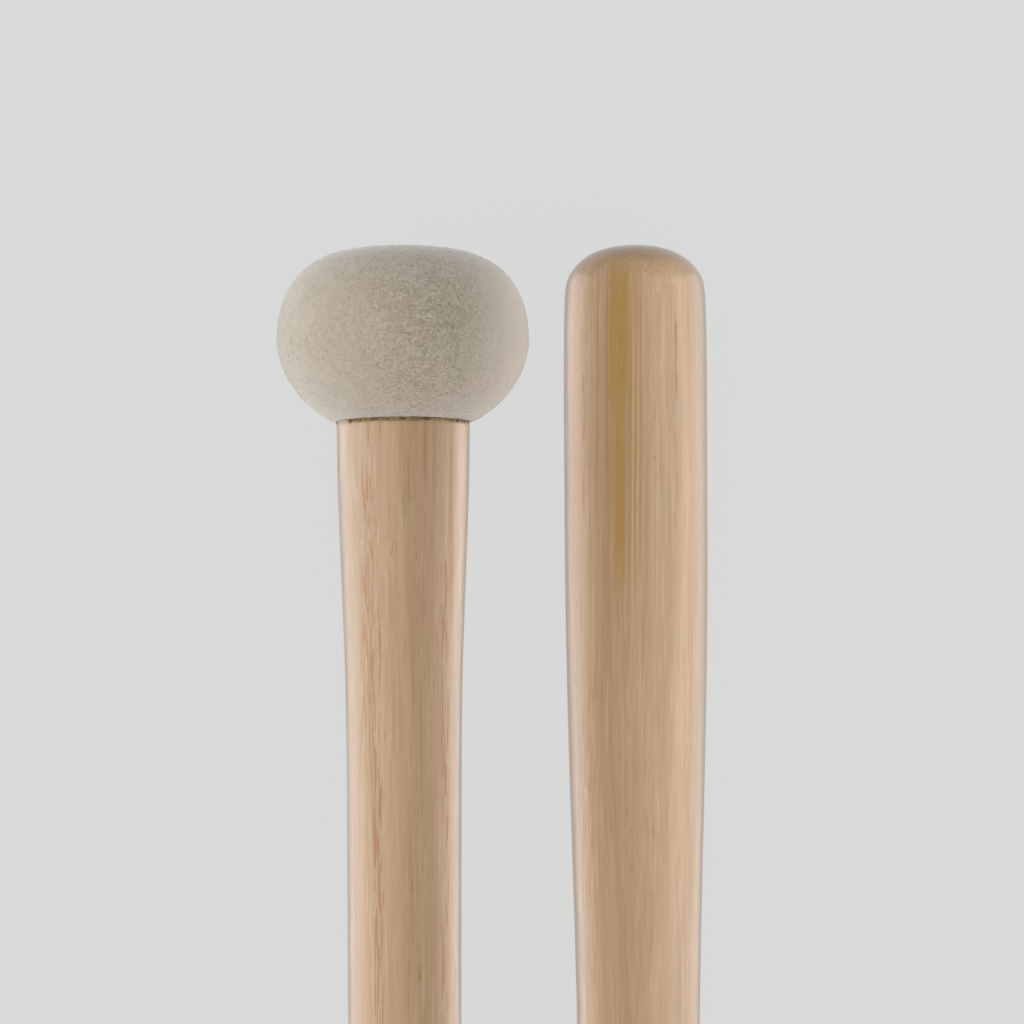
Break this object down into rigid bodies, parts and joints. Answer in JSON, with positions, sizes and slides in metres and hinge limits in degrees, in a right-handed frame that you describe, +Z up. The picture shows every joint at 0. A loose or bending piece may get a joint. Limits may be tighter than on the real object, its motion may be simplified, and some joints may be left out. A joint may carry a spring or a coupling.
{
  "type": "pair of timpani mallets",
  "caption": "Hard-felt timpani mallets with turned hickory handles, lying side by side, head to tail.",
  "frame": {"origin": "on the table, under the middle of the pair's bounding box", "axes": "+Y along the mallets, towards mallet_a's head; +Z up from the table; +X across, from mallet_a to mallet_b"},
  "size_m": [0.061, 0.3468, 0.0316],
  "materials": {
    "hickory": "satin",
    "pressed_felt": "matte",
    "glue": "satin"
  },
  "bodies": {
    "mallet_a": {"handle_a": "hickory", "felt_head_a": "pressed_felt", "glue_bond_a": "glue"},
    "mallet_b": {"handle_b": "hickory", "felt_head_b": "pressed_felt", "glue_bond_b": "glue"}
  },
  "joints": [
    {"name": "mallet_b_lift", "type": "slide", "parent": "mallet_a", "child": "mallet_b", "axis": [0, 0, 1], "range_m": [0, 0.1]}
  ]
}
